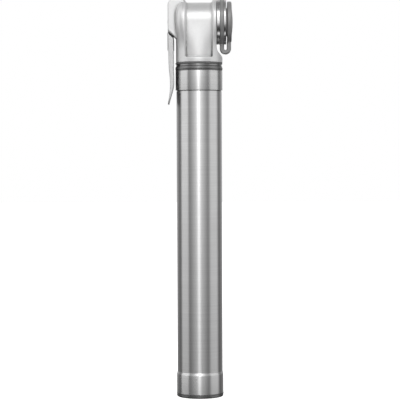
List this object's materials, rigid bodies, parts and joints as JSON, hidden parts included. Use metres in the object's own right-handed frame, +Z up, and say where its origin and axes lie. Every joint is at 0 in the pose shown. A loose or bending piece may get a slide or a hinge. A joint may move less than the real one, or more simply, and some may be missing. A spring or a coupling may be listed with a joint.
{
  "type": "mini pump",
  "caption": "Slim telescopic hand pump for bicycle tyres, with a cam-lever valve head, a screwed chuck nut and a dust cap on a rubber strap.",
  "frame": {"origin": "middle of the end cap's flat lower face, on the barrel's axis, pump closed", "axes": "+Z up the barrel towards the head, +X along the chuck's axis out of the valve opening"},
  "size_m": [0.0312, 0.0226, 0.1899],
  "materials": {
    "brushed_tube": "brushed along its length, clear anodised",
    "turned_collar": "turned satin",
    "cast_alloy": "blasted satin casting",
    "lever_alloy": "satin casting",
    "turned_nut": "turned, semi-bright",
    "bright_ring": "turned, bright",
    "plain_alloy": "drawn, semi-bright",
    "steel": "zinc plated",
    "brass": "turned",
    "black_plastic": "moulded, fine texture",
    "white_plastic": "moulded acetal",
    "seal_rubber": "moulded rubber",
    "ring_rubber": "moulded rubber",
    "cap_rubber": "moulded soft rubber"
  },
  "bodies": {
    "handle": {"handle_tube": "brushed_tube", "top_collar": "turned_collar", "top_bush": "black_plastic", "bottom_collar": "turned_collar", "end_cap": "black_plastic", "end_plug": "plain_alloy", "plug_oring": "seal_rubber", "bumper": "seal_rubber", "rod_screw": "steel", "piston_rod": "steel", "piston": "white_plastic", "piston_cup": "seal_rubber", "piston_nut": "steel"},
    "head": {"inner_barrel": "plain_alloy", "barrel_oring": "seal_rubber", "large_piston": "white_plastic", "large_piston_seal": "seal_rubber", "rod_seal": "seal_rubber", "valve_seat": "brass", "check_spring": "steel", "neck_ring": "bright_ring", "neck_gasket": "ring_rubber", "head_body": "cast_alloy", "lever_pin": "steel", "valve_grommet": "seal_rubber"},
    "outlet_valve": {"check_poppet": "white_plastic"},
    "lever": {"lever": "lever_alloy"},
    "plunger": {"plunger": "white_plastic", "plunger_oring": "seal_rubber"},
    "cap_carrier": {"cap_ring": "cap_rubber", "cap_strap": "cap_rubber"},
    "nut": {"chuck_nut": "turned_nut"},
    "dust_cap": {"dust_cap": "cap_rubber"}
  },
  "joints": [
    {"name": "pump_stroke", "type": "slide", "parent": "handle", "child": "head", "axis": [0, 0, 1], "range_m": [0, 0.12]},
    {"name": "outlet_lift", "type": "slide", "parent": "head", "child": "outlet_valve", "axis": [0, 0, 1], "range_m": [0, 0.0008], "stiffness_N_per_m": 50, "springref_m": -0.001, "deforming": ["check_spring"]},
    {"name": "lever_pivot", "type": "hinge", "parent": "head", "child": "lever", "pos_m": [-0.0108, 0, 0.1791], "axis": [0, 1, 0], "range_deg": [0, 90]},
    {"name": "plunger_slide", "type": "slide", "parent": "head", "child": "plunger", "axis": [1, 0, 0], "range_m": [0, 0.00171], "deforming": ["valve_grommet"]},
    {"name": "nut_travel", "type": "slide", "parent": "head", "child": "cap_carrier", "axis": [1, 0, 0], "range_m": [0, 0.00501]},
    {"name": "nut_turn", "type": "hinge", "parent": "cap_carrier", "child": "nut", "pos_m": [0.0107, 0, 0.1791], "axis": [1, 0, 0], "range_deg": [0, 1440]},
    {"name": "cap_swing", "type": "hinge", "parent": "cap_carrier", "child": "dust_cap", "pos_m": [0.01268, 0, 0.1664], "axis": [0, 1, 0], "range_deg": [0, 120], "deforming": ["cap_strap"]}
  ],
  "couplings": [
    {"joint": "plunger_slide", "follows": "lever_pivot", "m_per_rad": 0.0010823},
    {"joint": "nut_travel", "follows": "nut_turn", "m_per_rad": 0.00019894}
  ]
}
